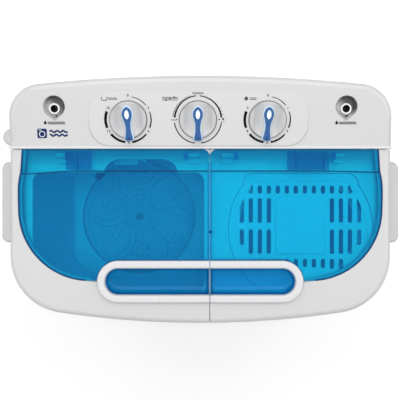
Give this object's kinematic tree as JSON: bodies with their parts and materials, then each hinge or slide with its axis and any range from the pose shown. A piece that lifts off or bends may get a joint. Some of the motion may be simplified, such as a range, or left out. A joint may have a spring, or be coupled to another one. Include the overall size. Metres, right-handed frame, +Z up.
{
  "type": "twin-tub top load washing machine",
  "caption": "Compact top-loading twin-tub washer with hinged translucent lids, a shared handle ring, rear console with rotary dials, wash tub, spin basket and drain hose",
  "frame": {"origin": "middle of the machine's footprint at floor level", "axes": "+Z up, +X to the spin side (right), +Y to the rear, front edge faces -Y"},
  "size_m": [0.6, 0.364, 0.684],
  "materials": {
    "white_abs": "satin white",
    "body_white": "satin white",
    "blue_clear": "glossy translucent blue",
    "grey_plastic": "satin grey",
    "knob_grey": "satin pale grey",
    "knob_blue": "gloss blue",
    "tub_plastic": "satin off-white",
    "rubber_black": "matt black",
    "hose_grey": "matt grey",
    "steel": "bright steel",
    "cast_alloy": "cast alloy",
    "motor_metal": "dark paint",
    "dark_plastic": "dark plastic"
  },
  "bodies": {
    "machine": {"cabinet": "body_white", "base_pan": "body_white", "feet": "rubber_black", "rear_cover": "body_white", "rear_cover_screws": "steel", "side_grip_left": "grey_plastic", "side_grip_right": "grey_plastic", "top_deck": "white_abs", "control_housing": "white_abs", "dial_plate": "white_abs", "inlet_cup_left": "grey_plastic", "inlet_cup_right": "grey_plastic", "inlet_duct_left": "tub_plastic", "inlet_duct_right": "tub_plastic", "wash_timer": "dark_plastic", "drain_selector": "dark_plastic", "spin_timer": "dark_plastic", "hinge_brackets": "white_abs", "wash_tub": "tub_plastic", "spin_tub": "tub_plastic", "lint_filter_guide": "tub_plastic", "bearing_housing": "cast_alloy", "wash_motor": "motor_metal", "motor_mounts": "rubber_black", "drive_belt": "rubber_black", "spin_motor": "motor_metal", "spin_motor_springs": "steel", "run_capacitors": "dark_plastic", "drain_pump": "dark_plastic", "sump_hose": "hose_grey", "spin_drain_hose": "hose_grey", "drain_hose": "hose_grey", "hose_cap": "grey_plastic", "hose_hook": "grey_plastic", "cord_gland": "rubber_black", "lid_switch": "dark_plastic"},
    "wash_lid": {"wash_lid_frame": "white_abs", "wash_lid_window": "blue_clear", "wash_lid_handle": "white_abs"},
    "spin_lid": {"spin_lid_frame": "white_abs", "spin_lid_window": "blue_clear", "spin_lid_handle": "white_abs"},
    "wash_dial": {"wash_knob": "knob_grey", "wash_knob_grip": "knob_blue"},
    "selector_dial": {"selector_knob": "knob_grey", "selector_knob_grip": "knob_blue"},
    "spin_dial": {"spin_knob": "knob_grey", "spin_knob_grip": "knob_blue"},
    "pulsator_set": {"pulsator": "tub_plastic", "pulsator_screw": "steel", "pulsator_shaft": "steel", "wash_pulley": "cast_alloy"},
    "motor_rotor": {"motor_pulley": "cast_alloy"},
    "basket_set": {"spin_basket": "tub_plastic", "spin_shaft": "steel", "brake_drum": "cast_alloy"},
    "brake": {"brake_lever": "cast_alloy"},
    "inner_cover": {"spin_cover": "tub_plastic"},
    "pump_rotor": {"pump_impeller": "dark_plastic"},
    "filter": {"lint_filter": "tub_plastic"}
  },
  "joints": [
    {"name": "wash_lid_hinge", "type": "hinge", "parent": "machine", "child": "wash_lid", "pos_m": [-0.124, 0.067, 0.6455], "axis": [-1, 0, 0], "range_deg": [0, 95]},
    {"name": "spin_lid_hinge", "type": "hinge", "parent": "machine", "child": "spin_lid", "pos_m": [0.148, 0.067, 0.6455], "axis": [-1, 0, 0], "range_deg": [0, 95]},
    {"name": "wash_timer_turn", "type": "hinge", "parent": "machine", "child": "wash_dial", "pos_m": [-0.1039, 0.117, 0.6648], "axis": [0, 0.2079, -0.9781], "range_deg": [0, 300]},
    {"name": "selector_turn", "type": "hinge", "parent": "machine", "child": "selector_dial", "pos_m": [-0.0034, 0.117, 0.6648], "axis": [0, 0.2079, -0.9781], "range_deg": [-90, 90]},
    {"name": "spin_timer_turn", "type": "hinge", "parent": "machine", "child": "spin_dial", "pos_m": [0.0971, 0.117, 0.6648], "axis": [0, 0.2079, -0.9781], "range_deg": [0, 300]},
    {"name": "pulsator_spin", "type": "hinge", "parent": "machine", "child": "pulsator_set", "pos_m": [-0.124, -0.033, 0.22], "axis": [0, 0, 1], "continuous": true},
    {"name": "wash_motor_spin", "type": "hinge", "parent": "machine", "child": "motor_rotor", "pos_m": [-0.03, 0.092, 0.17], "axis": [0, 0, 1], "continuous": true},
    {"name": "basket_spin", "type": "hinge", "parent": "machine", "child": "basket_set", "pos_m": [0.151, -0.043, 0.25], "axis": [0, 0, 1], "continuous": true},
    {"name": "brake_pivot", "type": "hinge", "parent": "machine", "child": "brake", "pos_m": [0.091, -0.073, 0.216], "axis": [0, 0, 1], "range_deg": [-3, 0]},
    {"name": "inner_cover_lift", "type": "slide", "parent": "machine", "child": "inner_cover", "axis": [0, 0, 1], "range_m": [0, 0.007]},
    {"name": "pump_spin", "type": "hinge", "parent": "machine", "child": "pump_rotor", "pos_m": [-0.205, 0.096, 0.08], "axis": [0, 0, 1], "continuous": true},
    {"name": "lint_filter_slide", "type": "slide", "parent": "machine", "child": "filter", "axis": [0, 0, 1], "range_m": [0, 0.04]}
  ],
  "couplings": [
    {"joint": "wash_motor_spin", "follows": "pulsator_spin", "ratio": 3.4},
    {"joint": "brake_pivot", "follows": "spin_lid_hinge", "ratio": -0.0315}
  ]
}
